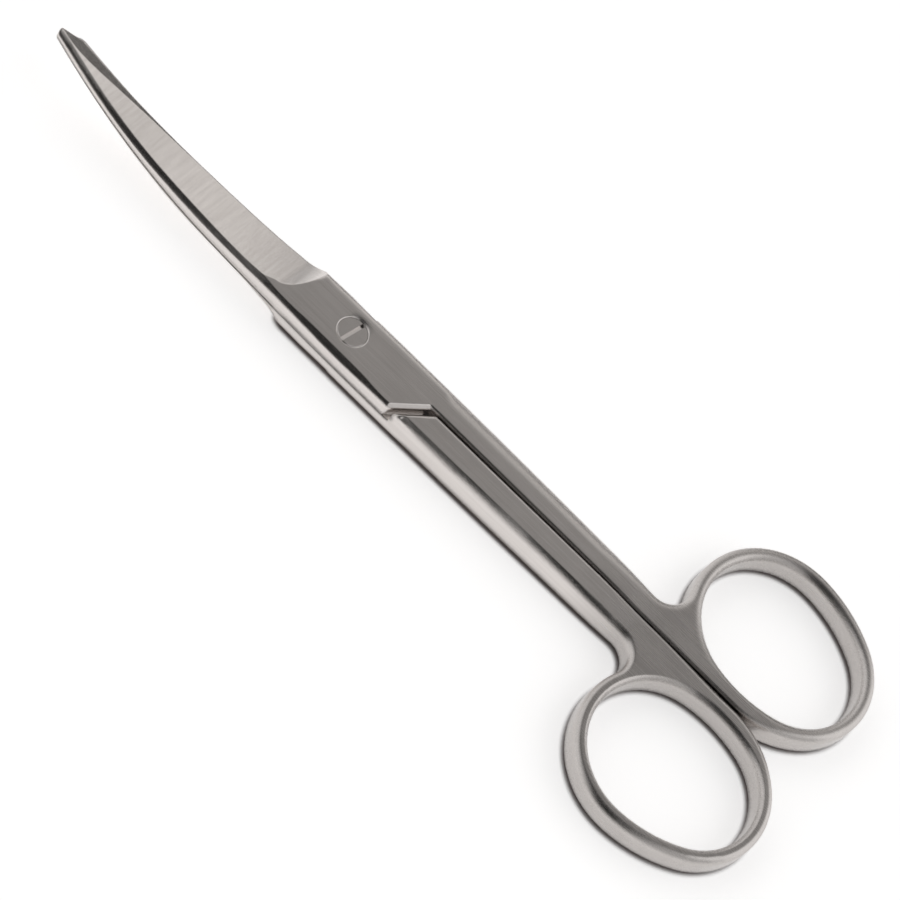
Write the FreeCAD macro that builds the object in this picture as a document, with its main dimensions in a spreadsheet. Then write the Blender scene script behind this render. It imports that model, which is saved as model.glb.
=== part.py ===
"""Curved operating scissors, blunt/blunt, 144 mm long, closed.

Frame: +X runs from the screw to the tips, +Y to the left, +Z up. The origin lies on the
screw's axis, at the height of the flat underside that the scissors rest on.

Three real pieces: the upper half, the lower half and the slotted pivot screw. Each half is one
forging: ring, shank, half-thick lap at the joint, and a blade that curves up out of the plane.
The upper half carries the right ring and the left spine, the lower half the other two.
"""
import FreeCAD, Part
import math
import os

import Sketcher

# Driving dimensions, in millimetres and degrees: name, value, meaning
DIMENSIONS = [
    ("body_thickness", 5.0, "closed joint and shanks, from underside to top"),
    ("lap_gap", 0.03, "running gap between the two laps, and under the screw's head"),
    ("joint_half_width", 4.8, "pivot axis to the side of the joint"),
    ("shank_half_width", 4.3, "centre plane to the outer face of a shank, at the ring"),
    ("slit_front", 0.28, "centre plane to the inner face of a shank, at the lap's end"),
    ("slit_rear", 0.12, "centre plane to the inner face of a shank, at the ring"),
    ("shoulder_outer", 11.9, "pivot back to the outer end of the shoulder"),
    ("shoulder_inner", 16.1, "pivot back to the inner end of the shoulder, on the centre plane"),
    ("lap_end_outer", 10.7, "pivot back to the outer corner of a lap"),
    ("lap_end_inner", 15.15, "pivot back to the inner corner of a lap"),
    ("shoulder_bevel", 0.5, "bevel along the shoulder and along the end of a lap"),
    ("ring_front_x", 70.17, "pivot back to the centre of the ring's front arc"),
    ("ring_front_gap", 0.88, "centre plane to the outside of the ring's front arc"),
    ("ring_front_radius", 11.03, "opening of the ring, front arc"),
    ("ring_rear_x", 75.16, "pivot back to the centre of the ring's rear arc"),
    ("ring_rear_gap", 1.12, "centre plane to the outside of the ring's rear arc"),
    ("ring_rear_radius", 10.13, "opening of the ring, rear arc"),
    ("ring_side_radius", 20.54, "opening of the ring, the two flatter sides"),
    ("ring_web_extra", 2.87, "how much the outside's radius grows beside the other ring"),
    ("ring_wall", 2.0, "width of the ring's bar, seen from above"),
    ("ring_inset", 0.3, "how far the ring lies inside each flat face"),
    ("ring_inset_start", 48.0, "pivot back to where the faces start to close in"),
    ("ring_inset_end", 57.0, "pivot back to where the ring has its own thickness"),
    ("crotch_radius", 3.6, "inside corner between the ring and the shank"),
    ("side_curve_start", 6.0, "pivot back to where the sides start to curve in"),
    ("blade_length", 57.15, "pivot forward to the foremost point of the tip's nose"),
    ("nose_y", 0.95, "centre plane to the centre of the tip's nose"),
    ("nose_radius", 0.65, "round of the nose"),
    ("corner_setback", 2.9, "centre of the nose back to the centre of the tip's blunt corner"),
    ("corner_drop", 0.9, "centre of the nose sideways to the centre of the blunt corner"),
    ("corner_radius", 2.0, "round of the lower blade's blunt corner"),
    ("upper_edge_inset", 0.45, "how far the upper blade's corner lies inside the lower one"),
    ("ride_end", 9.5, "pivot forward to the end of the flat lap"),
    ("relief_end", 10.5, "pivot forward to where the blades stand apart"),
    ("curve_start", 23.0, "pivot forward to where the blades start to curve up"),
    ("curve_margin", 0.85, "how far past the tips the blades' cutting sections run"),
    ("tip_rise", 6.25, "rise of the blades' middle surface, at the curve's end"),
    ("blade_gap", 0.2, "bow between the blades' inner faces, behind the curve"),
    ("tip_gap", 0.04, "gap between the blades' inner faces, at the curve's end"),
    ("heel", 12.5, "pivot forward to where the ground facet takes over from its heel"),
    ("heel_wheel_radius", 6.5, "round that the grinding leaves at the facet's heel"),
    ("heel_ridge", 2.7, "centre plane to the facet's upper line, at the heel"),
    ("heel_tilt", 14.6, "slope of the facet across the blade, at the heel"),
    ("heel_overlap", 0.2, "how far the heel's cut runs into the facet's cut"),
    ("gauge_line", 3.0, "centre plane to the line where blade thickness is given"),
    ("station_1", 17.5, "pivot forward to the first measured section of the blade"),
    ("thickness_1", 2.12, "thickness of a blade at the first section"),
    ("tilt_1", 14.0, "slope of the facet at the first section"),
    ("thickness_2", 2.02, "thickness of a blade where the curve starts"),
    ("tilt_2", 13.5, "slope of the facet where the curve starts"),
    ("station_3", 34.0, "pivot forward to the third measured section"),
    ("thickness_3", 1.75, "thickness of a blade at the third section"),
    ("tilt_3", 11.3, "slope of the facet at the third section"),
    ("station_4", 45.0, "pivot forward to the fourth measured section"),
    ("thickness_4", 1.45, "thickness of a blade at the fourth section"),
    ("tilt_4", 9.1, "slope of the facet at the fourth section"),
    ("thickness_5", 1.2, "thickness of a blade at the curve's end"),
    ("tilt_5", 6.8, "slope of the facet at the curve's end"),
    ("bevel_line_2", 4.8, "centre plane to the bevel's upper line, where the curve starts"),
    ("bevel_line_3", 3.05, "centre plane to the bevel's upper line, at the third section"),
    ("bevel_line_4", 1.3, "centre plane to the bevel's upper line, at the fourth section"),
    ("bevel_line_5", -0.35, "centre plane to the bevel's upper line, at the curve's end"),
    ("bevel_tilt", 19.5, "slope of the bevel along the cutting edge"),
    ("head_radius", 2.27, "head of the pivot screw"),
    ("head_height", 1.3, "thickness of the screw's head"),
    ("head_bevel", 0.08, "bevel round the top of the screw's head"),
    ("neck_radius", 1.5, "neck and thread of the pivot screw"),
    ("screw_clearance", 0.04, "running clearance round the screw's head and neck"),
    ("screw_end_bevel", 0.25, "bevel round the screw's end"),
    ("slot_width", 0.55, "screwdriver slot, across"),
    ("slot_depth_right", 0.5, "depth of the slot at its deeper end"),
    ("slot_depth_left", 0.08, "depth of the slot at the end that was ground down"),
    ("slot_angle", 10.0, "turn of the slot away from square across the scissors"),
    ("outer_round", 0.9, "round along the outer edges of joint, shanks and rings"),
    ("opening_bevel", 0.55, "bevel along the edges of the finger openings"),
    ("slit_round", 0.2, "round along the inner edges of the shanks"),
    ("spine_round", 0.8, "how far the spine's round reaches in from the side"),
    ("spine_round_radius", 0.98, "radius of the round along the spine"),
]

# Sizes that follow from the driving ones
DERIVED = [
    ("ring_front_y", "=ring_front_gap + ring_wall + ring_front_radius",
     "centre plane to the centre of the ring's front arc"),
    ("ring_rear_y", "=ring_rear_gap + ring_wall + ring_rear_radius",
     "centre plane to the centre of the ring's rear arc"),
    ("ring_web_radius", "=ring_rear_radius + ring_wall + ring_web_extra",
     "outside of the ring beside the other ring"),
    ("nose_x", "=blade_length - nose_radius", "pivot forward to the centre of the tip's nose"),
    ("corner_x", "=nose_x - corner_setback", "pivot forward to the centre of the blunt corner"),
    ("corner_y", "=nose_y - corner_drop", "centre plane to the centre of the blunt corner"),
    ("curve_end", "=blade_length + curve_margin", "pivot forward to a line just past the tips"),
    ("stock_height", "=2 * body_thickness + tip_rise", "height of the blank before cutting"),
    ("curve_radius", "=((curve_end - curve_start)^2 + tip_rise^2) / (2 * tip_rise)",
     "radius of the blades' upward curve"),
    ("middle_1", "=body_thickness / 2", "height of the middle surface at the first section"),
    ("middle_2", "=body_thickness / 2", "height of the middle surface where the curve starts"),
    ("middle_3", "=middle_2 + curve_radius - sqrt(curve_radius^2 - (station_3 - curve_start)^2)",
     "height of the middle surface at the third section"),
    ("middle_4", "=middle_2 + curve_radius - sqrt(curve_radius^2 - (station_4 - curve_start)^2)",
     "height of the middle surface at the fourth section"),
    ("middle_5", "=middle_2 + tip_rise", "height of the middle surface at the curve's end"),
    ("section_reach", "=joint_half_width + 3", "half the width of a cutting section"),
    ("left_curve_radius", "=((side_curve_start + nose_x)^2 + (joint_half_width - nose_y)^2"
     " - nose_radius^2) / (2 * (joint_half_width - nose_y - nose_radius))",
     "radius of the left side, which touches the tip's nose"),
    ("right_curve_radius", "=((side_curve_start + corner_x)^2 + (joint_half_width + corner_y)^2"
     " - corner_radius^2) / (2 * (joint_half_width + corner_y - corner_radius))",
     "radius of the lower blade's right side, which touches the blunt corner"),
]

# Measured sections of a blade: the number in its sizes' names, and how far forward it lies
MEASURED = [
    ("1", "sizes.station_1"),
    ("2", "sizes.curve_start"),
    ("3", "sizes.station_3"),
    ("4", "sizes.station_4"),
    ("5", "sizes.curve_end"),
]

# Distance under which two points or heights count as the same
TINY = 0.01

# Slope of the bevel round the finger openings, in degrees
BEVEL_SLOPE = 45

doc = FreeCAD.newDocument("operating_scissors")
sheet = doc.addObject("Spreadsheet::Sheet", "sizes")
for row, (alias, value, meaning) in enumerate(DIMENSIONS + DERIVED, start=1):
    sheet.set(f"A{row}", alias)
    sheet.set(f"B{row}", str(value))
    sheet.set(f"C{row}", meaning)
    sheet.setAlias(f"B{row}", alias)
doc.recompute()


def size(alias):
    """The value of one dimension, read from the sheet."""
    return float(sheet.get(alias))


class Outline:
    """A sketch on one of a body's origin planes, drawn as closed chains of lines and arcs."""

    def __init__(self, body, name, role, offset=None):
        self.sketch = body.newObject("Sketcher::SketchObject", name)
        plane = [item for item in body.Origin.OriginFeatures if item.Role == role][0]
        self.sketch.AttachmentSupport = [(plane, "")]
        self.sketch.MapMode = "FlatFace"
        if offset:
            self.sketch.setExpression("AttachmentOffset.Base.z", offset)
        self.ends = []
        self.first = 0

    def turn(self, axis, degrees, expression):
        """Turn the sketch in its plane's own frame."""
        rotation = FreeCAD.Rotation(FreeCAD.Vector(*axis), degrees)
        self.sketch.AttachmentOffset = FreeCAD.Placement(FreeCAD.Vector(), rotation)
        self.sketch.setExpression("AttachmentOffset.Rotation.Angle", expression)

    def line(self, start, end):
        """Add a line and return its place in the chain."""
        segment = Part.LineSegment(FreeCAD.Vector(*start, 0), FreeCAD.Vector(*end, 0))
        self.ends.append((self.sketch.addGeometry(segment, False), 1, 2))
        return len(self.ends) - 1

    def arc(self, centre, radius, start, end, anticlockwise):
        """Add an arc from start to end and return its place in the chain."""
        first, last = (start, end) if anticlockwise else (end, start)
        angles = [math.atan2(y - centre[1], x - centre[0]) for x, y in (first, last)]
        circle = Part.Circle(FreeCAD.Vector(*centre, 0), FreeCAD.Vector(0, 0, 1), radius)
        number = self.sketch.addGeometry(Part.ArcOfCircle(circle, *angles), False)
        self.ends.append((number, 1, 2) if anticlockwise else (number, 2, 1))
        return len(self.ends) - 1

    def polygon(self, points):
        """Add a closed chain of lines, each corner given as x, y and their two expressions."""
        start = len(self.ends)
        for index, (x, y, _, _) in enumerate(points):
            following = points[(index + 1) % len(points)]
            self.line((x, y), following[:2])
        self.close(set())
        for index, (_, _, x_size, y_size) in enumerate(points):
            self.place(start + index, x_size, y_size)

    def close(self, smooth):
        """Join the chain end to start, with a tangent joint after each place in smooth."""
        members = range(self.first, len(self.ends))
        for index in members:
            number, _, end = self.ends[index]
            following, start, _ = self.ends[index + 1 if index + 1 in members else self.first]
            kind = "Tangent" if index in smooth else "Coincident"
            self.sketch.addConstraint(Sketcher.Constraint(kind, number, end, following, start))
        self.first = len(self.ends)

    def bind(self, kind, places, value, expression):
        """Add one dimension and tie it to the sheet."""
        number = self.sketch.addConstraint(Sketcher.Constraint(kind, *places, value))
        self.sketch.setExpression(f"Constraints[{number}]", expression)

    def place(self, index, x=None, y=None):
        """Tie the start point of a chain member to the sheet."""
        number, start, _ = self.ends[index]
        point = self.sketch.getPoint(number, start)
        if x:
            self.bind("DistanceX", (-1, 1, number, start), point.x, x)
        if y:
            self.bind("DistanceY", (-1, 1, number, start), point.y, y)

    def centre(self, index, x, y):
        """Tie the centre of an arc to the sheet."""
        number = self.ends[index][0]
        point = self.sketch.getPoint(number, 3)
        self.bind("DistanceX", (-1, 1, number, 3), point.x, x)
        self.bind("DistanceY", (-1, 1, number, 3), point.y, y)

    def radius(self, index, expression):
        """Tie the radius of an arc to the sheet."""
        number = self.ends[index][0]
        self.bind("Radius", (number,), self.sketch.Geometry[number].Radius, expression)


def on_circle(centre, radius, towards):
    """The point of a circle that lies in the direction of another point."""
    dx, dy = towards[0] - centre[0], towards[1] - centre[1]
    reach = radius / math.hypot(dx, dy)
    return (centre[0] + dx * reach, centre[1] + dy * reach)


def beyond(centre, radius, other):
    """The point of a circle that lies straight away from another point."""
    return on_circle(centre, radius, (2 * centre[0] - other[0], 2 * centre[1] - other[1]))


def flank_centre(front, front_radius, rear, rear_radius, radius, left):
    """Centre of the large arc that touches a ring's two end arcs from outside."""
    gap_x, gap_y = rear[0] - front[0], rear[1] - front[1]
    spacing = math.hypot(gap_x, gap_y)
    to_front, to_rear = radius - front_radius, radius - rear_radius
    along = (to_front ** 2 - to_rear ** 2 + spacing ** 2) / (2 * spacing)
    across = math.sqrt(to_front ** 2 - along ** 2) * (1 if left else -1)
    ux, uy = gap_x / spacing, gap_y / spacing
    return (front[0] + ux * along - uy * across, front[1] + uy * along + ux * across)


def side_curve(start, centre, radius):
    """Radius of the arc that leaves a side lengthways and touches a round of the tip."""
    dx, dy = start[0] - centre[0], start[1] - centre[1]
    inward = -1 if start[1] > 0 else 1
    return (radius ** 2 - dx ** 2 - dy ** 2) / (2 * (inward * dy + radius))


def pad(body, name, outline, length):
    """Raise an outline from its plane."""
    feature = body.newObject("PartDesign::Pad", name)
    feature.Profile = outline.sketch
    feature.setExpression("Length", length)
    return feature


def pocket(body, name, outline, length=None, upward=False, through=False):
    """Cut an outline away: downward from its plane, upward, or both ways."""
    feature = body.newObject("PartDesign::Pocket", name)
    feature.Profile = outline.sketch
    feature.setExpression("Length", length if length else "4 * sizes.stock_height")
    feature.SideType = "Symmetric" if through else "One side"
    feature.Reversed = upward
    return feature


def plan_outline(body, side):
    """One half seen from above. side is 1 for the ring on the left, -1 on the right."""
    outline = Outline(body, "plan", "XY_Plane")
    sign = "" if side > 0 else "-"
    opposite = "-" if side > 0 else ""
    convex = side < 0

    def at(point):
        return (point[0], side * point[1])

    def arc(centre, radius, start, end, anticlockwise):
        return outline.arc(at(centre), radius, at(start), at(end), anticlockwise)

    wall = size("ring_wall")
    half_width = size("joint_half_width")
    front, front_radius = (-size("ring_front_x"), size("ring_front_y")), size("ring_front_radius")
    rear, rear_radius = (-size("ring_rear_x"), size("ring_rear_y")), size("ring_rear_radius")
    flat_radius = size("ring_side_radius")
    flank = flank_centre(front, front_radius, rear, rear_radius, flat_radius, True)
    web_radius = size("ring_web_radius")
    web_y = size("slit_rear") + web_radius
    web_reach = web_radius - rear_radius - wall
    web = (rear[0] + math.sqrt(web_reach ** 2 - (web_y - rear[1]) ** 2), web_y)
    crotch_radius = size("crotch_radius")
    crotch_y = size("shank_half_width") + crotch_radius
    crotch_reach = front_radius + wall + crotch_radius
    crotch_x = front[0] + math.sqrt(crotch_reach ** 2 - (front[1] - crotch_y) ** 2)
    crotch = (crotch_x, crotch_y)

    lap_outer = (-size("lap_end_outer"), -half_width)
    lap_inner = (-size("lap_end_inner"), size("slit_front"))
    slit_end = (web[0], size("slit_rear"))
    web_end = beyond(rear, rear_radius + wall, web)
    rear_end = beyond(rear, rear_radius + wall, flank)
    flank_end = beyond(front, front_radius + wall, flank)
    front_end = on_circle(front, front_radius + wall, crotch)
    shank_end = (crotch[0], size("shank_half_width"))
    shoulder = (-size("shoulder_outer"), half_width)
    drop = half_width - size("shank_half_width")
    shank_radius = ((shoulder[0] - shank_end[0]) ** 2 + drop ** 2) / (2 * drop)
    near_start = (-size("side_curve_start"), half_width)
    far_start = (-size("side_curve_start"), -half_width)

    nose, nose_radius = (size("nose_x"), size("nose_y")), size("nose_radius")
    corner = (size("corner_x"), size("corner_y"))
    corner_size = "sizes.corner_radius" if side > 0 else "sizes.corner_radius - sizes.upper_edge_inset"
    corner_radius = size("corner_radius") - (0 if side > 0 else size("upper_edge_inset"))
    left_start, right_start = (near_start[0], half_width), (near_start[0], -half_width)
    left_radius = side_curve(left_start, nose, nose_radius)
    right_radius = side_curve(right_start, corner, corner_radius)
    left_centre = (left_start[0], half_width - left_radius)
    right_centre = (right_start[0], right_radius - half_width)
    span_x, span_y = nose[0] - corner[0], nose[1] - corner[1]
    span = math.hypot(span_x, span_y)
    lean = (corner_radius - nose_radius) / span
    slope = math.sqrt(1 - lean ** 2)
    normal_x = (span_x * lean + span_y * slope) / span
    normal_y = (span_y * lean - span_x * slope) / span
    left_end = beyond(nose, nose_radius, left_centre)
    right_end = beyond(corner, corner_radius, right_centre)
    slant_nose = (nose[0] + nose_radius * normal_x, nose[1] + nose_radius * normal_y)
    slant_corner = (corner[0] + corner_radius * normal_x, corner[1] + corner_radius * normal_y)

    outline.line(at(lap_outer), at(lap_inner))
    slit = outline.line(at(lap_inner), at(slit_end))
    inner = arc(web, web_radius, slit_end, web_end, convex)
    back = arc(rear, rear_radius + wall, web_end, rear_end, convex)
    outer = arc(flank, flat_radius + wall, rear_end, flank_end, convex)
    fore = arc(front, front_radius + wall, flank_end, front_end, convex)
    hollow = arc(crotch, crotch_radius, front_end, shank_end, not convex)
    shank_centre = (shoulder[0], half_width - shank_radius)
    shank = arc(shank_centre, shank_radius, shank_end, shoulder, convex)
    joint = outline.line(at(shoulder), at(near_start))
    if side > 0:
        near = outline.arc(left_centre, left_radius, left_start, left_end, False)
        first = outline.arc(nose, nose_radius, left_end, slant_nose, False)
        outline.line(slant_nose, slant_corner)
        second = outline.arc(corner, corner_radius, slant_corner, right_end, False)
        outline.arc(right_centre, right_radius, right_end, right_start, False)
        nose_arc, corner_arc = first, second
    else:
        near = outline.arc(right_centre, right_radius, right_start, right_end, True)
        first = outline.arc(corner, corner_radius, right_end, slant_corner, True)
        outline.line(slant_corner, slant_nose)
        second = outline.arc(nose, nose_radius, slant_nose, left_end, True)
        outline.arc(left_centre, left_radius, left_end, left_start, True)
        nose_arc, corner_arc = second, first
    spine = outline.line(at(far_start), at(lap_outer))
    outline.close(set(range(slit, spine)))

    outline.place(0, "-sizes.lap_end_outer", f"{opposite}sizes.joint_half_width")
    outline.place(slit, "-sizes.lap_end_inner", f"{sign}sizes.slit_front")
    outline.place(inner, y=f"{sign}sizes.slit_rear")
    outline.radius(inner, "sizes.ring_web_radius")
    outline.centre(back, "-sizes.ring_rear_x", f"{sign}sizes.ring_rear_y")
    outline.radius(back, "sizes.ring_rear_radius + sizes.ring_wall")
    outline.radius(outer, "sizes.ring_side_radius + sizes.ring_wall")
    outline.centre(fore, "-sizes.ring_front_x", f"{sign}sizes.ring_front_y")
    outline.radius(fore, "sizes.ring_front_radius + sizes.ring_wall")
    outline.radius(hollow, "sizes.crotch_radius")
    outline.place(shank, y=f"{sign}sizes.shank_half_width")
    outline.place(joint, "-sizes.shoulder_outer", f"{sign}sizes.joint_half_width")
    outline.place(near, "-sizes.side_curve_start", f"{sign}sizes.joint_half_width")
    outline.centre(nose_arc, "sizes.nose_x", "sizes.nose_y")
    outline.radius(nose_arc, "sizes.nose_radius")
    outline.centre(corner_arc, "sizes.corner_x", "sizes.corner_y")
    outline.radius(corner_arc, corner_size)
    outline.place(spine, "-sizes.side_curve_start", f"{opposite}sizes.joint_half_width")
    return outline


def opening_outline(body, side, name, height=None, bevel=None):
    """The finger opening: two end arcs and two flatter side arcs, tangent all round.

    With a bevel it is drawn that much wider, at the given height.
    """
    outline = Outline(body, name, "XY_Plane", height)
    sign = "" if side > 0 else "-"
    turn = side < 0
    wider = size(bevel) if bevel else 0
    wider_size = f" + sizes.{bevel}" if bevel else ""

    def at(point):
        return (point[0], side * point[1])

    front, front_radius = (-size("ring_front_x"), size("ring_front_y")), size("ring_front_radius") + wider
    rear, rear_radius = (-size("ring_rear_x"), size("ring_rear_y")), size("ring_rear_radius") + wider
    flat = size("ring_side_radius") + wider
    outer = flank_centre(front, front_radius, rear, rear_radius, flat, True)
    inner = flank_centre(front, front_radius, rear, rear_radius, flat, False)
    corners = [
        beyond(front, front_radius, outer),
        beyond(front, front_radius, inner),
        beyond(rear, rear_radius, inner),
        beyond(rear, rear_radius, outer),
    ]
    fore = outline.arc(at(front), front_radius, at(corners[0]), at(corners[1]), turn)
    near = outline.arc(at(inner), flat, at(corners[1]), at(corners[2]), turn)
    back = outline.arc(at(rear), rear_radius, at(corners[2]), at(corners[3]), turn)
    far = outline.arc(at(outer), flat, at(corners[3]), at(corners[0]), turn)
    outline.close({fore, near, back, far})
    outline.centre(fore, "-sizes.ring_front_x", f"{sign}sizes.ring_front_y")
    outline.radius(fore, f"sizes.ring_front_radius{wider_size}")
    outline.radius(near, f"sizes.ring_side_radius{wider_size}")
    outline.centre(back, "-sizes.ring_rear_x", f"{sign}sizes.ring_rear_y")
    outline.radius(back, f"sizes.ring_rear_radius{wider_size}")
    outline.radius(far, f"sizes.ring_side_radius{wider_size}")
    return outline


def face_outline(body, upper):
    """Side view of what is cut from one flat face: all above it, and the step in to the ring."""
    outline = Outline(body, "top_profile" if upper else "bottom_profile", "XZ_Plane")
    face = size("body_thickness") if upper else 0
    outward = 1 if upper else -1
    sign = "-" if upper else "+"
    level = "sizes.body_thickness" if upper else "0 * sizes.body_thickness"
    inset = size("ring_inset")
    rear = -size("ring_rear_x") - size("stock_height")
    start, end = -size("ring_inset_end"), -size("ring_inset_start")
    middle = (start + end) / 2
    radius = ((end - middle) ** 2 + (inset / 2) ** 2) / inset
    front = size("curve_start")
    ring_face = face - outward * inset
    clear = face + outward * size("stock_height")
    joint_point = (middle, face - outward * inset / 2)

    outline.line((rear, ring_face), (start, ring_face))
    low_centre = (start, ring_face + outward * radius)
    high_centre = (end, face - outward * radius)
    rise = outline.arc(low_centre, radius, (start, ring_face), joint_point, upper)
    crest = outline.arc(high_centre, radius, joint_point, (end, face), not upper)
    flat = outline.line((end, face), (front, face))
    step = outline.line((front, face), (front, clear))
    top = outline.line((front, clear), (rear, clear))
    back = outline.line((rear, clear), (rear, ring_face))
    outline.close({0, rise, crest})
    outline.place(0, "-sizes.ring_rear_x - sizes.stock_height", f"{level} {sign} sizes.ring_inset")
    outline.place(rise, "-sizes.ring_inset_end", f"{level} {sign} sizes.ring_inset")
    outline.place(crest, "-(sizes.ring_inset_start + sizes.ring_inset_end) / 2")
    outline.place(flat, "-sizes.ring_inset_start", level)
    outline.place(step, "sizes.curve_start", level)
    clear_size = f"{level} {'+' if upper else '-'} sizes.stock_height"
    outline.place(top, "sizes.curve_start", clear_size)
    outline.place(back, "-sizes.ring_rear_x - sizes.stock_height", clear_size)
    return outline


def lap_outline(body, side, own):
    """Plan of what is cut from one half to leave its lap. own is 1 for the upper half."""
    offset = f"sizes.body_thickness / 2 {'+' if own > 0 else '-'} sizes.lap_gap / 2"
    outline = Outline(body, "lap_plan", "XY_Plane", offset)
    sign, opposite = ("", "-") if side > 0 else ("-", "")
    width = size("joint_half_width")
    reach = size("section_reach")
    back, front = -size("shoulder_outer"), size("ride_end") / 2
    inner = -size("shoulder_inner")
    outline.polygon([
        (inner, 0, "-sizes.shoulder_inner", "0 * sizes.shoulder_inner"),
        (back, side * width, "-sizes.shoulder_outer", f"{sign}sizes.joint_half_width"),
        (back, side * reach, "-sizes.shoulder_outer", f"{sign}sizes.section_reach"),
        (front, side * reach, "sizes.ride_end / 2", f"{sign}sizes.section_reach"),
        (front, -side * reach, "sizes.ride_end / 2", f"{opposite}sizes.section_reach"),
        (inner, -side * reach, "-sizes.shoulder_inner", f"{opposite}sizes.section_reach"),
    ])
    return outline


def parting_outline(body, own):
    """Side view of what is cut from one half along the blades' inner face."""
    outline = Outline(body, "parting_profile", "XZ_Plane")
    middle = size("body_thickness") / 2
    sign = "+" if own > 0 else "-"
    lap = middle + own * size("lap_gap") / 2
    inner = middle + own * size("blade_gap") / 2
    tip = middle + size("tip_rise") + own * size("tip_gap") / 2
    clear = -size("body_thickness") if own > 0 else size("stock_height") + size("body_thickness")
    clear_size = "-sizes.body_thickness" if own > 0 else "sizes.stock_height + sizes.body_thickness"
    start, end = size("curve_start"), size("curve_end")
    radius = ((end - start) ** 2 + (tip - inner) ** 2) / (2 * (tip - inner))
    back = size("ride_end") / 2
    ride, relief = size("ride_end"), size("relief_end")

    outline.line((back, lap), (ride, lap))
    ramp = outline.line((ride, lap), (relief, inner))
    flat = outline.line((relief, inner), (start, inner))
    curve = outline.arc((start, inner + radius), radius, (start, inner), (end, tip), True)
    front = outline.line((end, tip), (end, clear))
    far = outline.line((end, clear), (back, clear))
    rear = outline.line((back, clear), (back, lap))
    outline.close({flat})
    lap_size = f"sizes.body_thickness / 2 {sign} sizes.lap_gap / 2"
    inner_size = f"sizes.body_thickness / 2 {sign} sizes.blade_gap / 2"
    outline.place(0, "sizes.ride_end / 2", lap_size)
    outline.place(ramp, "sizes.ride_end", lap_size)
    outline.place(flat, "sizes.relief_end", inner_size)
    outline.place(curve, "sizes.curve_start", inner_size)
    outline.place(front, "sizes.curve_end", f"sizes.middle_5 {sign} sizes.tip_gap / 2")
    outline.place(far, "sizes.curve_end", clear_size)
    outline.place(rear, "sizes.ride_end / 2", clear_size)
    return outline


def heel_outline(body, own):
    """Round start of the ground facet, drawn on a plane square to the facet's slope."""
    outline = Outline(body, "heel_profile", "XZ_Plane")
    outline.turn((1, 0, 0), size("heel_tilt"), "sizes.heel_tilt * 1 deg")
    tilt = math.radians(size("heel_tilt"))
    heel, radius = size("heel"), size("heel_wheel_radius")
    overlap = size("heel_overlap")
    if own > 0:
        low = size("body_thickness") * math.cos(tilt) - size("heel_ridge") * math.sin(tilt)
        low_size = ("sizes.body_thickness * cos(sizes.heel_tilt * 1 deg)"
                    " - sizes.heel_ridge * sin(sizes.heel_tilt * 1 deg)")
    else:
        low = size("heel_ridge") * math.sin(tilt)
        low_size = "sizes.heel_ridge * sin(sizes.heel_tilt * 1 deg)"
    sign = "+" if own > 0 else "-"
    far = low + own * radius
    far_size = f"{low_size} {sign} sizes.heel_wheel_radius"
    curve = outline.arc((heel, far), radius, (heel - radius, far), (heel, low), own > 0)
    flat = outline.line((heel, low), (heel + overlap, low))
    step = outline.line((heel + overlap, low), (heel + overlap, far))
    top = outline.line((heel + overlap, far), (heel - radius, far))
    outline.close({curve})
    outline.place(flat, "sizes.heel", low_size)
    outline.radius(curve, "sizes.heel_wheel_radius")
    outline.place(step, "sizes.heel + sizes.heel_overlap", low_size)
    outline.place(top, "sizes.heel + sizes.heel_overlap", far_size)
    outline.place(curve, y=far_size)
    return outline


def section_outline(body, name, own, station, height, tilt, line):
    """Cross-section of what is cut outside a sloping face of the blade.

    The sloping line stands at the given height above the resting plane at a given distance
    from the centre plane, and drops towards the cutting edge.
    """
    outline = Outline(body, name, "YZ_Plane", station)
    reach = "sizes.section_reach"
    low = f"{height} - tan({tilt} * 1 deg) * ({reach} {'+' if own > 0 else '-'} {line})"
    high = f"{height} + tan({tilt} * 1 deg) * ({reach} {'-' if own > 0 else '+'} {line})"
    clear = f"{height} {'+' if own > 0 else '-'} sizes.stock_height"
    width, depth = size("section_reach"), size("stock_height")
    outline.polygon([
        (-width, 0, f"-{reach}", low),
        (width, 1, reach, high),
        (width, own * depth, reach, clear),
        (-width, own * depth, f"-{reach}", clear),
    ])
    return outline


def side_size(place, own):
    """Expression for the distance from the centre plane to the spine's side."""
    radius = "sizes.left_curve_radius" if own > 0 else "sizes.right_curve_radius"
    along = f"({place} + sizes.side_curve_start)"
    return f"sizes.joint_half_width - {radius} + sqrt({radius}^2 - {along}^2)"


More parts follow.
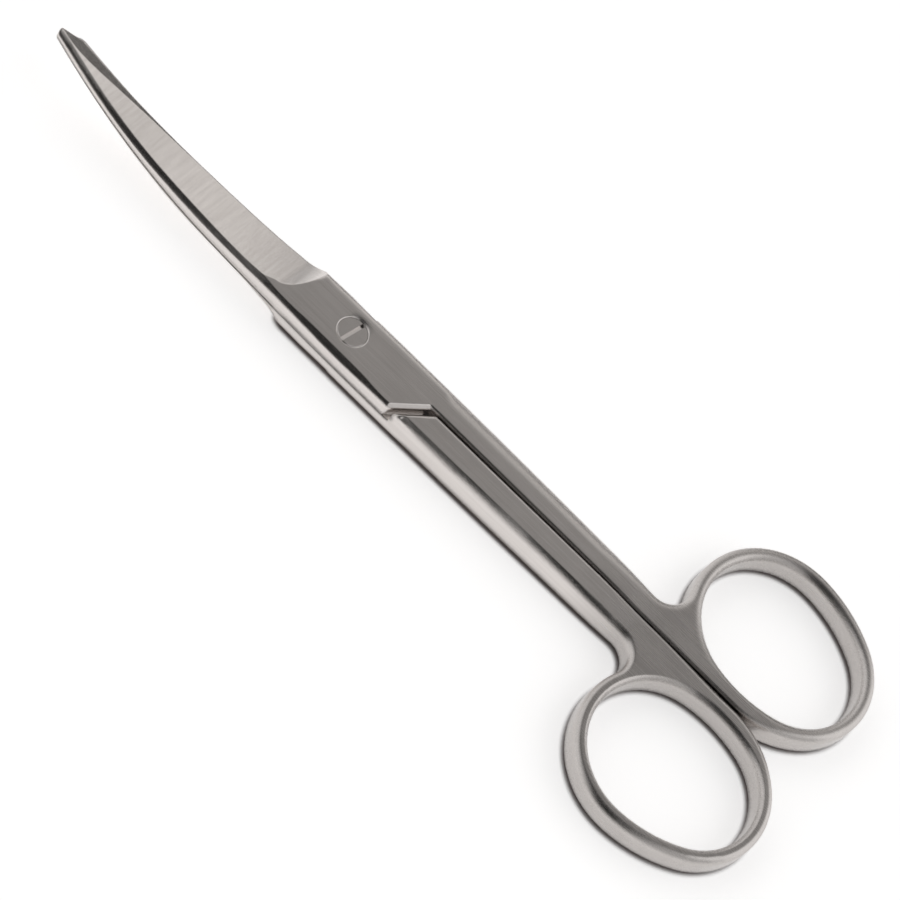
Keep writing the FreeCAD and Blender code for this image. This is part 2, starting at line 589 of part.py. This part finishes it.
def spine_outline(body, name, own, station, side, height, tilt):
    """Cross-section of what is cut off the corner between the outer face and the spine's side."""
    outline = Outline(body, name, "YZ_Plane", station)
    sign, opposite = ("+", "-") if own > 0 else ("-", "+")
    unit = "" if own > 0 else "-"
    reach, clear = size("spine_round"), size("body_thickness") / 2
    radius = size("spine_round_radius")
    width, level = size("joint_half_width"), size("body_thickness") / 2
    inward = f"{unit}({side} - sizes.spine_round)"
    at_side = f"{unit}({side})"
    outward = f"{unit}({side} + sizes.body_thickness / 2)"
    low = f"{height} {opposite} sizes.spine_round"
    high = f"{height} {sign} sizes.body_thickness / 2"
    face = f"{height} {opposite} tan({tilt}) * sizes.spine_round" if tilt else height
    chord = reach * math.sqrt(0.5)
    depth = (reach + math.sqrt(2 * (radius ** 2 - chord ** 2))) / 2
    inner_corner = (own * (width - reach), level)
    side_corner = (own * width, level - own * reach)
    centre = (own * (width - depth), level - own * depth)

    round_edge = outline.arc(centre, radius, inner_corner, side_corner, False)
    below = outline.line(side_corner, (own * (width + clear), level - own * reach))
    right = outline.line((own * (width + clear), level - own * reach),
                         (own * (width + clear), level + own * clear))
    above = outline.line((own * (width + clear), level + own * clear),
                         (own * (width - reach), level + own * clear))
    left = outline.line((own * (width - reach), level + own * clear), inner_corner)
    outline.close(set())
    outline.radius(round_edge, "sizes.spine_round_radius")
    outline.place(round_edge, inward, face)
    outline.place(below, at_side, low)
    outline.place(right, outward, low)
    outline.place(above, outward, high)
    outline.place(left, inward, high)
    return outline


def loft_cut(body, name, sections):
    """Cut away the loft through several cross-sections."""
    feature = body.newObject("PartDesign::SubtractiveLoft", name)
    feature.Profile = sections[0].sketch
    feature.Sections = [section.sketch for section in sections[1:]]
    return feature


def spine_sections(body, own):
    """Cross-sections of the round along the spine, from behind the lap's end to past the tip."""
    sign = "+" if own > 0 else "-"
    width = "sizes.joint_half_width"
    level = "sizes.body_thickness" if own > 0 else "0 * sizes.body_thickness"
    stations = [
        ("-sizes.shoulder_outer", width, level, None),
        ("-sizes.side_curve_start", width, level, None),
        ("sizes.heel / 2", side_size("sizes.heel / 2", own), level, None),
        ("sizes.heel", side_size("sizes.heel", own), level, None),
    ]
    for number, place in MEASURED:
        middle = f"sizes.middle_{number}"
        side = side_size(place, own)
        tilt = f"sizes.tilt_{number} * 1 deg"
        rise = f"tan({tilt}) * ({side} - sizes.gauge_line)"
        stations.append((place, side, f"{middle} {sign} (sizes.thickness_{number} + {rise})", tilt))
    return [
        spine_outline(body, f"spine_section_{index}", own, *station)
        for index, station in enumerate(stations)
    ]


def hole(body, name, radius, offset=None, length=None):
    """A round hole about the pivot axis."""
    outline = Outline(body, f"{name}_plan", "XY_Plane", offset)
    circle = Part.Circle(FreeCAD.Vector(), FreeCAD.Vector(0, 0, 1), size("neck_radius"))
    number = outline.sketch.addGeometry(circle, False)
    outline.sketch.addConstraint(Sketcher.Constraint("Coincident", number, 3, -1, 1))
    outline.bind("Radius", (number,), size("neck_radius"), radius)
    return pocket(body, name, outline, length, through=not length)


def facet_sections(body, own):
    """Cross-sections of the ground facet, from its heel to past the tip."""
    sign = "+" if own > 0 else "-"
    heel_height = "sizes.body_thickness" if own > 0 else "0 * sizes.body_thickness"
    heel = ("sizes.heel", heel_height, "sizes.heel_tilt", "sizes.heel_ridge")
    stations = [heel]
    for number, place in MEASURED:
        middle = f"sizes.middle_{number}"
        height = f"{middle} {sign} sizes.thickness_{number}"
        stations.append((place, height, f"sizes.tilt_{number}", "sizes.gauge_line"))
    return [
        section_outline(body, f"facet_section_{index}", own, *station)
        for index, station in enumerate(stations)
    ]


def bevel_sections(body, own):
    """Cross-sections of the bevel along the cutting edge."""
    sign, opposite = ("+", "-") if own > 0 else ("-", "+")
    sections = []
    for number, place in MEASURED[1:]:
        line = f"sizes.bevel_line_{number}"
        fall = f"tan(sizes.tilt_{number} * 1 deg) * (sizes.gauge_line + {line})"
        height = f"sizes.middle_{number} {sign} sizes.thickness_{number} {opposite} {fall}"
        name = f"bevel_section_{number}"
        sections.append(section_outline(body, name, own, place, height, "sizes.bevel_tilt", f"(-{line})"))
    return sections


def web_centre():
    """Centre of the arc along the outside of the ring, beside the other ring."""
    radius, height = size("ring_web_radius"), size("slit_rear") + size("ring_web_radius")
    reach = radius - size("ring_rear_radius") - size("ring_wall")
    along = math.sqrt(reach ** 2 - (height - size("ring_rear_y")) ** 2)
    return (along - size("ring_rear_x"), height)


def on_flat_face(point):
    """Whether a point lies on the top or underside of joint, shank or ring."""
    depth = min(abs(point.z), abs(size("body_thickness") - point.z))
    inset = size("ring_inset") if point.x < TINY - size("ring_inset_start") else 0
    return depth < inset + TINY


def in_opening(point, side):
    """Whether a point of a ring lies nearer to the opening's bevel than to the outside."""
    middle = (size("ring_wall") + size("opening_bevel")) / 2
    for end in ("front", "rear"):
        away = math.hypot(point.x + size(f"ring_{end}_x"), side * point.y - size(f"ring_{end}_y"))
        if away < size(f"ring_{end}_radius") + middle:
            return True
    return False


def step_edges(shape):
    """Names of the lap end's outer edge and of the shoulder's outer edge."""
    names = []
    for number, edge in enumerate(shape.Edges, start=1):
        start, end = edge.Vertexes[0].Point, edge.Vertexes[-1].Point
        middle = (start + end) / 2
        across = abs(start.y - end.y) > size("joint_half_width") / 2
        behind = -size("shoulder_inner") < middle.x < -size("lap_end_outer")
        if across and behind and on_flat_face(middle):
            names.append(f"Edge{number}")
    return names


def opening_bevel(body, side, upper):
    """The bevel round a finger opening, cut from the ring's top or underside."""
    name = "top_bevel" if upper else "bottom_bevel"
    height = "sizes.body_thickness - sizes.ring_inset" if upper else "sizes.ring_inset"
    plan = opening_outline(body, side, f"{name}_plan", height, "opening_bevel")
    feature = pocket(body, name, plan, "sizes.opening_bevel", upward=not upper)
    feature.TaperAngle = -BEVEL_SLOPE


def half_body(label, side, own):
    """One half up to its edges' rounding. own is 1 for the upper half, -1 for the lower one."""
    body = doc.addObject("PartDesign::Body", f"{label}_forging")
    upper = own > 0
    pad(body, "blank", plan_outline(body, side), "sizes.stock_height")
    pocket(body, "finger_opening", opening_outline(body, side, "opening_plan"), through=True)
    pocket(body, "top_face", face_outline(body, True), through=True)
    pocket(body, "bottom_face", face_outline(body, False), through=True)
    opening_bevel(body, side, True)
    opening_bevel(body, side, False)
    lap = pocket(body, "lap", lap_outline(body, side, own), upward=not upper)
    doc.recompute()
    bevel = body.newObject("PartDesign::Chamfer", "step_bevel")
    bevel.Base = (lap, step_edges(lap.Shape))
    bevel.setExpression("Size", "sizes.shoulder_bevel")
    pocket(body, "inner_face", parting_outline(body, own), through=True)
    pocket(body, "facet_heel", heel_outline(body, own), through=True)
    loft_cut(body, "facet", facet_sections(body, own))
    loft_cut(body, "edge_bevel", bevel_sections(body, own))
    loft_cut(body, "spine_rounding", spine_sections(body, own))
    if upper:
        seat = "sizes.head_height + sizes.lap_gap"
        hole(body, "head_seat", "sizes.head_radius + sizes.screw_clearance", "sizes.body_thickness", seat)
        hole(body, "neck_hole", "sizes.neck_radius + sizes.screw_clearance")
    else:
        hole(body, "thread_hole", "sizes.neck_radius")
    doc.recompute()
    return body


def rim_round(edge, side):
    """Radius of the round at the two ends of an edge, or None where the edge stays sharp."""
    first, last = edge.ParameterRange
    points = [edge.valueAt(first + (last - first) * part) for part in (0, 0.25, 0.5, 0.75, 1)]
    middle = points[2]
    out = side * middle.y
    crossing = abs(points[0].x - points[4].x) < TINY and middle.x < -size("shoulder_outer")
    if crossing or not all(on_flat_face(point) for point in points):
        return None
    if abs(out) < size("slit_front") + TINY and middle.x < -size("lap_end_inner"):
        return (size("slit_round"), size("slit_round"))
    web = web_centre()
    from_web = math.hypot(middle.x - web[0], out - web[1])
    if abs(from_web - size("ring_web_radius")) < TINY and middle.x < web[0]:
        rounds = (size("slit_round"), size("outer_round"))
        return rounds if points[0].x > points[4].x else rounds[::-1]
    if out > size("shank_half_width") - TINY and not in_opening(middle, side):
        return (size("outer_round"), size("outer_round"))
    return None


def finished_half(label, body, side):
    """A half with the edges of joint, shank and ring rounded."""
    half = doc.addObject("Part::Fillet", label)
    half.Label = label
    half.Base = body
    rounds = [(number, rim_round(edge, side)) for number, edge in enumerate(body.Shape.Edges, start=1)]
    half.Edges = [(number, *ends) for number, ends in rounds if ends]
    half.Placement = FreeCAD.Placement()
    return half


def screw_body():
    """The pivot screw: head, neck, thread and a slot whose floor slopes."""
    body = doc.addObject("PartDesign::Body", "pivot_screw")
    outline = Outline(body, "screw_profile", "XZ_Plane")
    top = size("body_thickness")
    neck, head = size("neck_radius"), size("head_radius")
    end_bevel, head_bevel = size("screw_end_bevel"), size("head_bevel")
    seat = top - size("head_height")
    seat_size = "sizes.body_thickness - sizes.head_height"
    outline.polygon([
        (0, 0, "0 * sizes.neck_radius", "0 * sizes.neck_radius"),
        (neck - end_bevel, 0, "sizes.neck_radius - sizes.screw_end_bevel", "0 * sizes.neck_radius"),
        (neck, end_bevel, "sizes.neck_radius", "sizes.screw_end_bevel"),
        (neck, seat, "sizes.neck_radius", seat_size),
        (head, seat, "sizes.head_radius", seat_size),
        (head, top - head_bevel, "sizes.head_radius", "sizes.body_thickness - sizes.head_bevel"),
        (head - head_bevel, top, "sizes.head_radius - sizes.head_bevel", "sizes.body_thickness"),
        (0, top, "0 * sizes.neck_radius", "sizes.body_thickness"),
    ])
    turned = body.newObject("PartDesign::Revolution", "turned")
    turned.Profile = outline.sketch
    turned.ReferenceAxis = (outline.sketch, ["V_Axis"])
    turned.Angle = 360

    slot = Outline(body, "slot_profile", "YZ_Plane")
    slot.turn((0, 1, 0), -size("slot_angle"), "-sizes.slot_angle * 1 deg")
    right, left = size("slot_depth_right"), size("slot_depth_left")
    slot.polygon([
        (-head, top - right, "-sizes.head_radius", "sizes.body_thickness - sizes.slot_depth_right"),
        (head, top - left, "sizes.head_radius", "sizes.body_thickness - sizes.slot_depth_left"),
        (head, top + right, "sizes.head_radius", "sizes.body_thickness + sizes.slot_depth_right"),
        (-head, top + right, "-sizes.head_radius", "sizes.body_thickness + sizes.slot_depth_right"),
    ])
    pocket(body, "slot", slot, "sizes.slot_width", through=True)
    return body


upper_half = finished_half("upper_half", half_body("upper_half", -1, 1), -1)
lower_half = finished_half("lower_half", half_body("lower_half", 1, -1), 1)
pivot_screw = screw_body()
doc.recompute()

for item in doc.Objects:
    if "Invalid" in item.State or "Error" in item.State:
        raise RuntimeError(f"{item.Label} didn't build: {item.State}")

os.makedirs("parts", exist_ok=True)
for item in (upper_half, lower_half, pivot_screw):
    shape = item.Shape
    if shape.isNull() or not shape.isValid() or len(shape.Solids) != 1:
        raise RuntimeError(f"{item.Label} isn't one valid solid")
    shape.exportStep(f"parts/{item.Label}.step")
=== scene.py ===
"""Looks of the curved operating scissors: satin steel, a white table and soft studio light.

Everything is in metres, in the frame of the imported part: +X towards the tips, +Y to the left
seen from above, +Z up. Most named pairs are the two ends of a range: where something starts,
or is nil, and where it is full.
"""

import math

import bpy
from mathutils import Matrix, Vector

# Camera, as the photograph was taken: the point at the image's centre, the angles in degrees,
# the azimuth from +X towards +Y, and the lens and its sensor in millimetres
IMAGE_CENTRE = Vector((-0.02073, 0.00101, 0.0025))
CAMERA_DISTANCE = 0.5319
CAMERA_AZIMUTH = 93.74
CAMERA_ELEVATION = 54.50
CAMERA_ROLL = 41.24
CAMERA_LENS = 155.46
CAMERA_SENSOR = 36
CAMERA_CLIP = (0.01, 20)

# Colours, linear
STEEL = (0.76, 0.72, 0.695, 1)
STEEL_SHADED = (0.68, 0.64, 0.615, 1)
TABLE = (0.88, 0.87, 0.865, 1)
WHITE = (1.0, 1.0, 1.0, 1)

# Patterns of the finish: scales along X, Y and Z, in cells to the metre, and detail
BRUSH = (90, 9000, 5200), 4
FINE_BRUSH = (700, 16000, 12000), 3
STREAKS = (45, 1900, 1900), 4
CLOUDS = (160, 420, 420), 3
FACET_GRAIN = (9000, 1500, 6000), 4
FACET_STREAKS = (1700, 150, 150), 4
PATTERN_ROUGHNESS = 0.55
PATTERN_RANGE = (0.3, 0.7)
CLOUDS_RANGE = (0.35, 0.65)

# What the patterns do: roughness from the brush, on the ground facets and from the clouds, the
# streaks' share in the colour, the fine brush's share in the relief, and the relief's strength
BRUSH_ROUGHNESS = (0.17, 0.24)
FACET_ROUGHNESS = (0.18, 0.24)
CLOUDS_ROUGHNESS = (-0.02, 0.02)
STREAKS_SHARE = 0.6
FINE_SHARE = 0.5
RELIEF_STRENGTH = 0.25
RELIEF_HEIGHT = 0.00002

# Ground facets of the blades: how far their normals lean sideways, and still face up or down
FACET_LEAN = (0.07, 0.10)
FACET_UPRIGHT = (0.88, 0.92)

# Breaks of the edges, as radii: on flat faces, on the inner edges of the shanks, and on side
# walls, where it gets finer along X from the joint towards the tips
FLAT_BREAK = 0.0003
INNER_BREAK = 0.0006
WALL_BREAK = (0.0014, 0.0009)
WALL_BREAK_AT = (0.020, 0.045)
WALL_UPRIGHT = (0.6, 0.3)

# Wide rounding of the outer edges, as a radius. It starts along X behind the joint, on the
# right side beside the joint already with a share of it, and outwards from the centre plane.
# On the left it leaves out the flat tops
WIDE_ROUNDING = 0.0028
SHANK_START = (-0.013, -0.017)
JOINT_START = (0.010, 0.006)
JOINT_SHARE = 0.45
OUTER_START = (0.0014, 0.0028)
LEFT_START = (0, 0.0005)
TOP_UPRIGHT = (0.95, 0.99)
EDGE_SAMPLES = 10

# Finger rings, from their start along X: their share of the wide rounding, what is added to the
# roughness there, and the share of the steel's colour left there by painted shade, for their
# darker reflections
RINGS_START = (-0.045, -0.055)
RINGS_ROUNDING = 0.4
RINGS_DULLER = 0.06
RINGS_PAINTED_SHADE = 0.74

# Painted shade in crevices: how far they are felt, the openness of a spot from tight to open,
# and the share of the steel's colour left where they are tight
CREVICE_SHADE_REACH = 0.0007
CREVICE_SHADE_RANGE = (0.10, 0.45)
CREVICE_SHADE_SHARE = 0.10
CREVICE_SHADE_SAMPLES = 6

# Table: its width, its drop under the scissors, and the glow that lifts it to white for the
# camera and in the steel
TABLE_SIZE = 6.0
TABLE_DROP = 0.00002
TABLE_GLOW = 0.55
TABLE_ROUGHNESS = 0.9

# Shade on the table close to the steel: its colour, its reach, and the openness of the spot
# from where it is full to where it ends
TABLE_SHADED = (0.20, 0.165, 0.16, 1)
SHADE_REACH = 0.0011
SHADE_RANGE = (0.40, 0.86)
SHADE_SAMPLES = 8

# The studio as the steel sees it: height above the table's far edge in degrees, measured over
# the top of the scissors from their right side to their left, and brightness
STUDIO = [
    (0, 0.02),
    (19, 0.03),
    (22, 0.50),
    (25, 0.92),
    (29, 0.90),
    (33, 0.74),
    (40, 0.68),
    (48, 0.38),
    (55, 0.26),
    (68, 0.19),
    (80, 0.03),
    (90, 0.008),
    (150, 0.012),
    (163, 0.10),
    (180, 0.26),
]
STUDIO_WARMTH = (1, 0.985, 0.97)

# Soft lights beyond the tips and beyond the rings: brightness, and how far along X a direction
# has to lean before it meets them and where they are full. The one beyond the rings fades
# towards the left
TIPS_LIGHT = 0.95
TIPS_LEAN = (0.15, 0.75)
RINGS_LIGHT = 1.15
RINGS_LEAN = (-0.12, -0.50)
RINGS_FADE = (-0.12, 0.12)
RINGS_FADED = 0.62

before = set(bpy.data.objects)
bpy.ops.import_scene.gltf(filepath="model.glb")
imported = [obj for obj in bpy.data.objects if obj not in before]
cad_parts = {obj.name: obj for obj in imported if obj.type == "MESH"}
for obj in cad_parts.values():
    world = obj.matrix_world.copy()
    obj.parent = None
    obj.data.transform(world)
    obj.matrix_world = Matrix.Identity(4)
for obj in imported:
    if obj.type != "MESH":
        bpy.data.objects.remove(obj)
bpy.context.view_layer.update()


def node(tree, kind, **values):
    """Add a shader node and set its properties by name."""
    added = tree.nodes.new(kind)
    for name, value in values.items():
        setattr(added, name, value)
    return added


def link(tree, value, target):
    """Give an input a plain number or colour, or join it to another node's output."""
    if isinstance(value, (int, float, tuple)):
        target.default_value = value
    else:
        tree.links.new(value, target)


def math_node(tree, operation, *values):
    """A maths step on sockets or plain numbers."""
    step = node(tree, "ShaderNodeMath", operation=operation)
    for value, socket in zip(values, step.inputs):
        link(tree, value, socket)
    return step.outputs[0]


def axes(tree, vector):
    """The X, Y and Z of a vector."""
    split = node(tree, "ShaderNodeSeparateXYZ")
    link(tree, vector, split.inputs[0])
    return split.outputs


def remap(tree, value, low, high, to_low, to_high, smooth=False):
    """Bring a value from one range to another, held at the ends."""
    step = node(tree, "ShaderNodeMapRange")
    step.interpolation_type = "SMOOTHSTEP" if smooth else "LINEAR"
    numbers = {"From Min": low, "From Max": high, "To Min": to_low, "To Max": to_high}
    for name, number in numbers.items():
        step.inputs[name].default_value = number
    link(tree, value, step.inputs["Value"])
    return step.outputs[0]


def mix(tree, factor, first, second):
    """Mix two colours by a factor."""
    step = node(tree, "ShaderNodeMix", data_type="RGBA")
    for value, index in ((factor, 0), (first, 6), (second, 7)):
        link(tree, value, step.inputs[index])
    return step.outputs[2]


def mix_number(tree, factor, first, second):
    """Mix two numbers by a factor."""
    step = node(tree, "ShaderNodeMix", data_type="FLOAT")
    for value, index in ((factor, 0), (first, 2), (second, 3)):
        link(tree, value, step.inputs[index])
    return step.outputs[0]


def pattern(tree, place, scales, detail):
    """Noise drawn out into streaks, in the frame of the piece."""
    mapping = node(tree, "ShaderNodeMapping")
    mapping.inputs["Scale"].default_value = scales
    link(tree, place.outputs["Object"], mapping.inputs["Vector"])
    noise = node(tree, "ShaderNodeTexNoise")
    noise.inputs["Scale"].default_value = 1.0
    noise.inputs["Detail"].default_value = detail
    noise.inputs["Roughness"].default_value = PATTERN_ROUGHNESS
    link(tree, mapping.outputs[0], noise.inputs["Vector"])
    return noise.outputs["Fac"]


def openness(tree, reach, samples):
    """How open a spot is, from 0 to 1, with nothing felt beyond the reach."""
    around = node(tree, "ShaderNodeAmbientOcclusion", samples=samples)
    around.inputs["Distance"].default_value = reach
    return around.outputs["AO"]


def new_material(name):
    """A material with an empty node tree, its output and its principled shader."""
    material = bpy.data.materials.new(name)
    material.use_nodes = True
    tree = material.node_tree
    tree.nodes.clear()
    output = node(tree, "ShaderNodeOutputMaterial")
    shader = node(tree, "ShaderNodeBsdfPrincipled")
    link(tree, shader.outputs[0], output.inputs["Surface"])
    return material, tree, shader


def wide_share(tree, spot, facing, shank, outer):
    """The share of the wide rounding at a spot."""
    joint = remap(tree, spot["X"], *JOINT_START, 0, JOINT_SHARE, smooth=True)
    left = remap(tree, spot["Y"], *LEFT_START, 0, 1)
    right = math_node(tree, "SUBTRACT", 1, left)
    along = math_node(tree, "MAXIMUM", shank, math_node(tree, "MULTIPLY", joint, right))
    top = remap(tree, facing["Z"], *TOP_UPRIGHT, 0, 1)
    kept = math_node(tree, "SUBTRACT", 1, math_node(tree, "MULTIPLY", left, top))
    rings = remap(tree, spot["X"], *RINGS_START, 1, RINGS_ROUNDING)
    kept = math_node(tree, "MULTIPLY", kept, rings)
    return math_node(tree, "MULTIPLY", math_node(tree, "MULTIPLY", along, outer), kept)


def forged_edges(tree, spot, facing):
    """Normals with a fine break on every edge and a wide rounding outside on the shanks."""
    shank = remap(tree, spot["X"], *SHANK_START, 0, 1, smooth=True)
    from_centre = math_node(tree, "ABSOLUTE", spot["Y"])
    outer = remap(tree, from_centre, *OUTER_START, 0, 1, smooth=True)
    inner = math_node(tree, "MULTIPLY", shank, math_node(tree, "SUBTRACT", 1, outer))
    flat_break = mix_number(tree, inner, FLAT_BREAK, INNER_BREAK)
    wall_break = remap(tree, spot["X"], *WALL_BREAK_AT, *WALL_BREAK)
    upright = math_node(tree, "ABSOLUTE", facing["Z"])
    wall = remap(tree, upright, *WALL_UPRIGHT, 0, 1)
    broken = mix_number(tree, wall, flat_break, wall_break)
    wide = wide_share(tree, spot, facing, shank, outer)
    edges = node(tree, "ShaderNodeBevel", samples=EDGE_SAMPLES)
    link(tree, mix_number(tree, wide, broken, WIDE_ROUNDING), edges.inputs["Radius"])
    return edges.outputs[0]


def ground_facets(tree, place, facing, tint, rough, relief):
    """Lay the finer finish with its cross grain over the blades' sloping faces."""
    lean = math_node(tree, "ABSOLUTE", facing["Y"])
    upright = math_node(tree, "ABSOLUTE", facing["Z"])
    leaning = remap(tree, lean, *FACET_LEAN, 0, 1)
    outward = remap(tree, upright, *FACET_UPRIGHT, 0, 1)
    facet = math_node(tree, "MULTIPLY", leaning, outward)
    grain = pattern(tree, place, *FACET_GRAIN)
    across = pattern(tree, place, *FACET_STREAKS)
    tint = mix_number(tree, facet, tint, remap(tree, across, *PATTERN_RANGE, 0, 1))
    finer = remap(tree, grain, *PATTERN_RANGE, *FACET_ROUGHNESS)
    rough = mix_number(tree, facet, rough, finer)
    relief = mix_number(tree, facet, relief, grain)
    return tint, rough, relief


def painted_shade(tree, spot, colour):
    """The colour with painted shade: darker rings, and darker still where crevices are tight."""
    # painted shade in tight crevices, by how open the spot is
    open_range = openness(tree, CREVICE_SHADE_REACH, CREVICE_SHADE_SAMPLES)
    crevice_shade = remap(tree, open_range, *CREVICE_SHADE_RANGE, CREVICE_SHADE_SHARE, 1)
    # painted shade on the rings, standing in for their darker reflections
    rings = remap(tree, spot["X"], *RINGS_START, 1, RINGS_PAINTED_SHADE)
    darker = node(tree, "ShaderNodeVectorMath", operation="SCALE")
    link(tree, colour, darker.inputs[0])
    link(tree, math_node(tree, "MULTIPLY", crevice_shade, rings), darker.inputs["Scale"])
    return darker.outputs[0]


def satin_steel(name, halves=False):
    """Brushed satin steel. The halves have their facets, rings and edges besides, with painted
    shade on the rings and in tight crevices.
    """
    material, tree, shader = new_material(name)
    place = node(tree, "ShaderNodeTexCoord")
    brush = pattern(tree, place, *BRUSH)
    fine = pattern(tree, place, *FINE_BRUSH)
    clouds = pattern(tree, place, *CLOUDS)
    streaks = pattern(tree, place, *STREAKS)

    rough = remap(tree, brush, *PATTERN_RANGE, *BRUSH_ROUGHNESS)
    stain = remap(tree, clouds, *CLOUDS_RANGE, *CLOUDS_ROUGHNESS)
    rough = math_node(tree, "ADD", rough, stain)
    relief = math_node(tree, "ADD", brush, math_node(tree, "MULTIPLY", fine, FINE_SHARE))
    tint = mix_number(tree, STREAKS_SHARE, brush, streaks)
    tint = remap(tree, tint, *PATTERN_RANGE, 0, 1)
    if halves:
        spot = axes(tree, place.outputs["Object"])
        facing = axes(tree, place.outputs["Normal"])
        tint, rough, relief = ground_facets(tree, place, facing, tint, rough, relief)
        duller = remap(tree, spot["X"], *RINGS_START, 0, RINGS_DULLER)
        rough = math_node(tree, "ADD", rough, duller)
    colour = mix(tree, tint, STEEL_SHADED, STEEL)
    bump = node(tree, "ShaderNodeBump")
    if halves:
        # painted shade: darker rings, and darker tight crevices
        colour = painted_shade(tree, spot, colour)
        link(tree, forged_edges(tree, spot, facing), bump.inputs["Normal"])

    bump.inputs["Strength"].default_value = RELIEF_STRENGTH
    bump.inputs["Distance"].default_value = RELIEF_HEIGHT
    link(tree, relief, bump.inputs["Height"])
    shader.inputs["Metallic"].default_value = 1.0
    link(tree, colour, shader.inputs["Base Color"])
    link(tree, rough, shader.inputs["Roughness"])
    link(tree, bump.outputs[0], shader.inputs["Normal"])
    return material


def table_material():
    """White table: it takes the shadow, and shows white to the camera and in the steel."""
    material, tree, shader = new_material("table")
    open_range = openness(tree, SHADE_REACH, SHADE_SAMPLES)
    open_share = remap(tree, open_range, *SHADE_RANGE, 0, 1, smooth=True)
    link(tree, mix(tree, open_share, TABLE_SHADED, TABLE), shader.inputs["Base Color"])
    shader.inputs["Roughness"].default_value = TABLE_ROUGHNESS
    shader.inputs["Specular IOR Level"].default_value = 0.0
    rays = node(tree, "ShaderNodeLightPath")
    glow = node(tree, "ShaderNodeEmission")
    glow.inputs["Color"].default_value = WHITE
    seen = math_node(tree, "MAXIMUM", rays.outputs["Is Camera Ray"], rays.outputs["Is Glossy Ray"])
    strength = math_node(tree, "MULTIPLY", seen, TABLE_GLOW)
    strength = math_node(tree, "MULTIPLY", strength, open_share)
    link(tree, strength, glow.inputs["Strength"])
    both = node(tree, "ShaderNodeAddShader")
    output = tree.nodes["Material Output"]
    link(tree, shader.outputs[0], both.inputs[0])
    link(tree, glow.outputs[0], both.inputs[1])
    link(tree, both.outputs[0], output.inputs["Surface"])
    return material


def add_table():
    """The white table that the scissors lie on."""
    half = TABLE_SIZE / 2
    low = -TABLE_DROP
    corners = [(-half, -half, low), (half, -half, low), (half, half, low), (-half, half, low)]
    mesh = bpy.data.meshes.new("table")
    mesh.from_pydata(corners, [], [(0, 1, 2, 3)])
    table = bpy.data.objects.new("table", mesh)
    bpy.context.scene.collection.objects.link(table)
    table.data.materials.append(table_material())


def grey(level):
    """A neutral light of the given brightness."""
    return (level, level, level, 1)


def over_the_top(tree, direction):
    """Light by the angle over the scissors, from their right side to their left."""
    towards_right = math_node(tree, "MULTIPLY", direction["Y"], -1)
    angle = math_node(tree, "ARCTAN2", direction["Z"], towards_right)
    ramp = node(tree, "ShaderNodeValToRGB")
    stops = ramp.color_ramp.elements
    while len(stops) > 1:
        stops.remove(stops[-1])
    for index, (degrees, level) in enumerate(STUDIO):
        stop = stops[0] if index == 0 else stops.new(degrees / 180)
        stop.color = tuple(level * channel for channel in STUDIO_WARMTH) + (1,)
    link(tree, remap(tree, angle, 0, math.pi, 0, 1), ramp.inputs["Fac"])
    return ramp.outputs["Color"]


def studio_world():
    """World light by direction: over the top, beyond the tips and beyond the rings."""
    world = bpy.data.worlds.new("studio")
    bpy.context.scene.world = world
    world.use_nodes = True
    tree = world.node_tree
    tree.nodes.clear()
    place = node(tree, "ShaderNodeTexCoord")
    direction = axes(tree, place.outputs["Generated"])
    tips_end = remap(tree, direction["X"], *TIPS_LEAN, 0, 1, smooth=True)
    rings_end = remap(tree, direction["X"], *RINGS_LEAN, 0, 1, smooth=True)
    faded = remap(tree, direction["Y"], *RINGS_FADE, 0, 1, smooth=True)
    rings_light = mix(tree, faded, grey(RINGS_LIGHT), grey(RINGS_FADED))
    colour = mix(tree, tips_end, over_the_top(tree, direction), grey(TIPS_LIGHT))
    colour = mix(tree, rings_end, colour, rings_light)
    light = node(tree, "ShaderNodeBackground")
    link(tree, colour, light.inputs["Color"])
    white = node(tree, "ShaderNodeBackground")
    white.inputs["Color"].default_value = WHITE
    rays = node(tree, "ShaderNodeLightPath")
    choose = node(tree, "ShaderNodeMixShader")
    link(tree, rays.outputs["Is Camera Ray"], choose.inputs["Fac"])
    link(tree, light.outputs[0], choose.inputs[1])
    link(tree, white.outputs[0], choose.inputs[2])
    output = node(tree, "ShaderNodeOutputWorld")
    link(tree, choose.outputs[0], output.inputs["Surface"])


def add_camera():
    """The photograph's camera, placed by its angles about the point at the image's centre."""
    azimuth, elevation = math.radians(CAMERA_AZIMUTH), math.radians(CAMERA_ELEVATION)
    level = math.cos(elevation)
    back = Vector((math.cos(azimuth) * level, math.sin(azimuth) * level, math.sin(elevation)))
    camera = bpy.data.objects.new("camera", bpy.data.cameras.new("camera"))
    bpy.context.scene.collection.objects.link(camera)
    turn = back.to_track_quat("Z", "Y").to_matrix().to_4x4()
    roll = Matrix.Rotation(math.radians(CAMERA_ROLL), 4, "Z")
    camera.matrix_world = Matrix.Translation(IMAGE_CENTRE + back * CAMERA_DISTANCE) @ turn @ roll
    camera.data.lens = CAMERA_LENS
    camera.data.sensor_width = CAMERA_SENSOR
    camera.data.clip_start, camera.data.clip_end = CAMERA_CLIP
    bpy.context.scene.camera = camera


def finish_steel():
    """Give each CAD node its finish."""
    half = satin_steel("satin_steel_halves", halves=True)
    screw = satin_steel("satin_steel_screw")
    for name, material in (("upper_half", half), ("lower_half", half), ("pivot_screw", screw)):
        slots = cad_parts[name].data.materials
        slots.clear()
        slots.append(material)


add_camera()
finish_steel()
add_table()
studio_world()
bpy.context.scene.view_settings.view_transform = "Standard"
